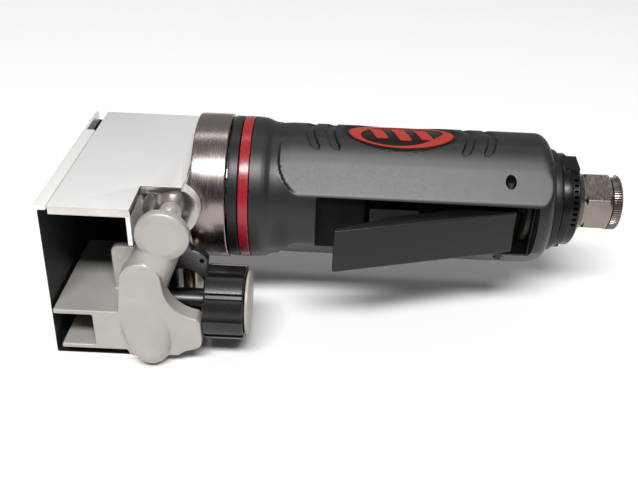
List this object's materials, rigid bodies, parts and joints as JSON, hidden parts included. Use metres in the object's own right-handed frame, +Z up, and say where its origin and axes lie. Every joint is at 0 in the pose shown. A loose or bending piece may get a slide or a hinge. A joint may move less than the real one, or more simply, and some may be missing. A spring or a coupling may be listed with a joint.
{
  "type": "die grinder",
  "caption": "Pneumatic die grinder with a boxed edge-grinding head, sliding clamped guide, squeeze lever and swivelling exhaust.",
  "frame": {"origin": "centre of the object's box in X and Y, at the underside of the head box and the guide's foot, which is what it stands on", "axes": "+X along the motor axis from the grinding head to the air inlet; +Y towards the closed back of the head; +Z up, out of the head's flat top plate"},
  "size_m": [0.174, 0.0734, 0.0622],
  "materials": {
    "head_frame": "satin machined",
    "side_cover": "satin",
    "cover_screw_1": "blackened",
    "cover_screw_2": "blackened",
    "clamp_bracket": "dark satin",
    "lock_pin": "turned",
    "clamp_collar": "burnished",
    "spacer_ring": "moulded",
    "accent_ring": "gloss",
    "front_housing": "turned",
    "front_bearing": "ground",
    "front_plate": "ground",
    "cylinder_liner": "ground",
    "rear_plate": "ground",
    "rear_bearing": "ground",
    "grip_housing": "fine texture",
    "badge_plate": "gloss",
    "lever_pin": "ground",
    "valve_spring": "drawn wire",
    "muffler_ring": "felt",
    "rear_seal": "smooth",
    "inlet_bushing": "burnished",
    "knurled_ring": "knurled",
    "inlet_screen": "woven",
    "guide_casting": "die cast",
    "guide_rod": "ground",
    "roller_pin": "ground",
    "guide_roller": "toothed",
    "pressure_pad": "turned",
    "clamp_knob": "satin",
    "knob_cap": "satin",
    "knob_stud": "blackened",
    "rotor": "ground",
    "drum_arbor": "turned",
    "abrasive_drum": "coarse grit",
    "drum_washer": "plain",
    "drum_screw": "blackened",
    "throttle_lever": "satin",
    "throttle_button": "bead blasted",
    "exhaust_deflector": "gloss",
    "rotor_vane_1": "laminated",
    "rotor_vane_2": "laminated",
    "rotor_vane_3": "laminated",
    "rotor_vane_4": "laminated"
  },
  "bodies": {
    "tool": {"head_frame": "head_frame", "side_cover": "side_cover", "cover_screw_1": "cover_screw_1", "cover_screw_2": "cover_screw_2", "clamp_bracket": "clamp_bracket", "lock_pin": "lock_pin", "clamp_collar": "clamp_collar", "spacer_ring": "spacer_ring", "accent_ring": "accent_ring", "front_housing": "front_housing", "front_bearing": "front_bearing", "front_plate": "front_plate", "cylinder_liner": "cylinder_liner", "rear_plate": "rear_plate", "rear_bearing": "rear_bearing", "grip_housing": "grip_housing", "badge_plate": "badge_plate", "lever_pin": "lever_pin", "valve_spring": "valve_spring", "muffler_ring": "muffler_ring", "rear_seal": "rear_seal", "inlet_bushing": "inlet_bushing", "knurled_ring": "knurled_ring", "inlet_screen": "inlet_screen"},
    "guide": {"guide_casting": "guide_casting", "guide_rod": "guide_rod", "roller_pin": "roller_pin"},
    "roller": {"guide_roller": "guide_roller"},
    "clamp_screw": {"pressure_pad": "pressure_pad"},
    "knob": {"clamp_knob": "clamp_knob", "knob_cap": "knob_cap", "knob_stud": "knob_stud"},
    "spindle": {"rotor": "rotor", "drum_arbor": "drum_arbor", "abrasive_drum": "abrasive_drum", "drum_washer": "drum_washer", "drum_screw": "drum_screw", "rotor_vane_1": "rotor_vane_1", "rotor_vane_2": "rotor_vane_2", "rotor_vane_3": "rotor_vane_3", "rotor_vane_4": "rotor_vane_4"},
    "lever": {"throttle_lever": "throttle_lever"},
    "button": {"throttle_button": "throttle_button"},
    "deflector": {"exhaust_deflector": "exhaust_deflector"}
  },
  "joints": [
    {"name": "guide_slide", "type": "slide", "parent": "tool", "child": "guide", "axis": [0, -1, 0], "range_m": [0, 0.008]},
    {"name": "roller_spin", "type": "hinge", "parent": "guide", "child": "roller", "pos_m": [-0.0786, -0.01175, 0.0122], "axis": [0, 0, 1], "continuous": true},
    {"name": "clamp_travel", "type": "slide", "parent": "guide", "child": "clamp_screw", "axis": [1, 0, 0], "range_m": [0, 0.0025]},
    {"name": "knob_turn", "type": "hinge", "parent": "clamp_screw", "child": "knob", "pos_m": [-0.0342, -0.02055, 0.0171], "axis": [1, 0, 0], "range_deg": [0, 720]},
    {"name": "spindle_spin", "type": "hinge", "parent": "tool", "child": "spindle", "pos_m": [-0.0682, 0.01225, 0.0392], "axis": [1, 0, 0], "continuous": true},
    {"name": "lever_squeeze", "type": "hinge", "parent": "tool", "child": "lever", "pos_m": [0.0491, -0.00235, 0.0392], "axis": [0, 0, -1], "range_deg": [0, 11], "stiffness_Nm_per_rad": 0.2, "springref_deg": -8.59},
    {"name": "button_travel", "type": "slide", "parent": "tool", "child": "button", "axis": [0, 1, 0], "range_m": [0, 0.0067]},
    {"name": "deflector_turn", "type": "hinge", "parent": "tool", "child": "deflector", "pos_m": [0.0693, 0.01225, 0.0392], "axis": [1, 0, 0], "continuous": true}
  ],
  "couplings": [
    {"joint": "clamp_travel", "follows": "knob_turn", "m_per_rad": 0.00019894},
    {"joint": "button_travel", "follows": "lever_squeeze", "m_per_rad": 0.0343}
  ]
}
